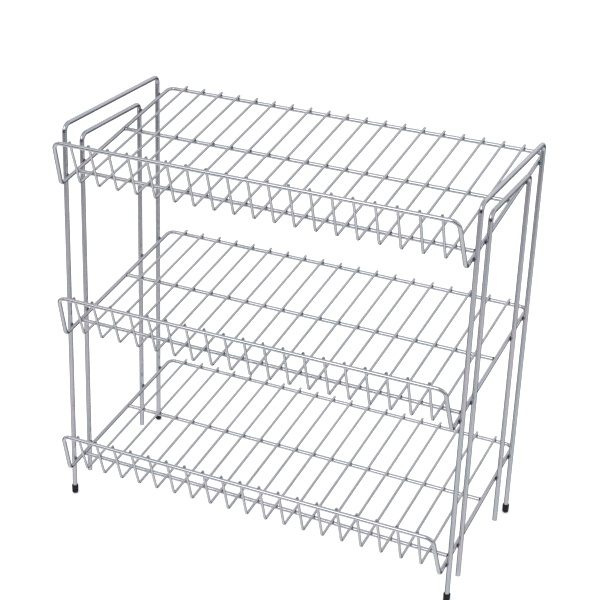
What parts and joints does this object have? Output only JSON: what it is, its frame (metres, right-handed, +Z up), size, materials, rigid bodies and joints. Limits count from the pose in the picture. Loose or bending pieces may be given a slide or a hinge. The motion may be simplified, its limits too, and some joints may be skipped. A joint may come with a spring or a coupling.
{
  "type": "shoe rack",
  "caption": "Free-standing tiered shoe rack of welded chrome wire, with sloping slatted shelves that have raised front lips, between U-shaped wire side frames on capped feet.",
  "frame": {"origin": "on the floor, at the middle of the rack's width and depth", "axes": "+X along the shelves to the right seen from the front, -Y to the front where the lips are, +Z up"},
  "size_m": [0.6212, 0.3476, 0.603],
  "materials": {
    "frame_wire": "bright chrome plate on bent steel wire",
    "shelf_wire": "bright chrome plate on bent steel wire, with weld spots",
    "slat_wire": "bright chrome plate on thin steel wire",
    "foot_cap": "satin black moulded soft vinyl"
  },
  "bodies": {
    "root": {"left_outer_frame": "frame_wire", "left_inner_frame": "frame_wire", "right_outer_frame": "frame_wire", "right_inner_frame": "frame_wire", "top_shelf_frame": "shelf_wire", "top_shelf_mid_rail": "shelf_wire", "top_shelf_front_rail": "shelf_wire", "middle_shelf_frame": "shelf_wire", "middle_shelf_mid_rail": "shelf_wire", "middle_shelf_front_rail": "shelf_wire", "bottom_shelf_frame": "shelf_wire", "bottom_shelf_mid_rail": "shelf_wire", "bottom_shelf_front_rail": "shelf_wire", "top_shelf_slats": "slat_wire", "middle_shelf_slats": "slat_wire", "bottom_shelf_slats": "slat_wire", "front_left_foot_cap": "foot_cap", "front_right_foot_cap": "foot_cap", "rear_left_foot_cap": "foot_cap", "rear_right_foot_cap": "foot_cap"}
  },
  "joints": []
}
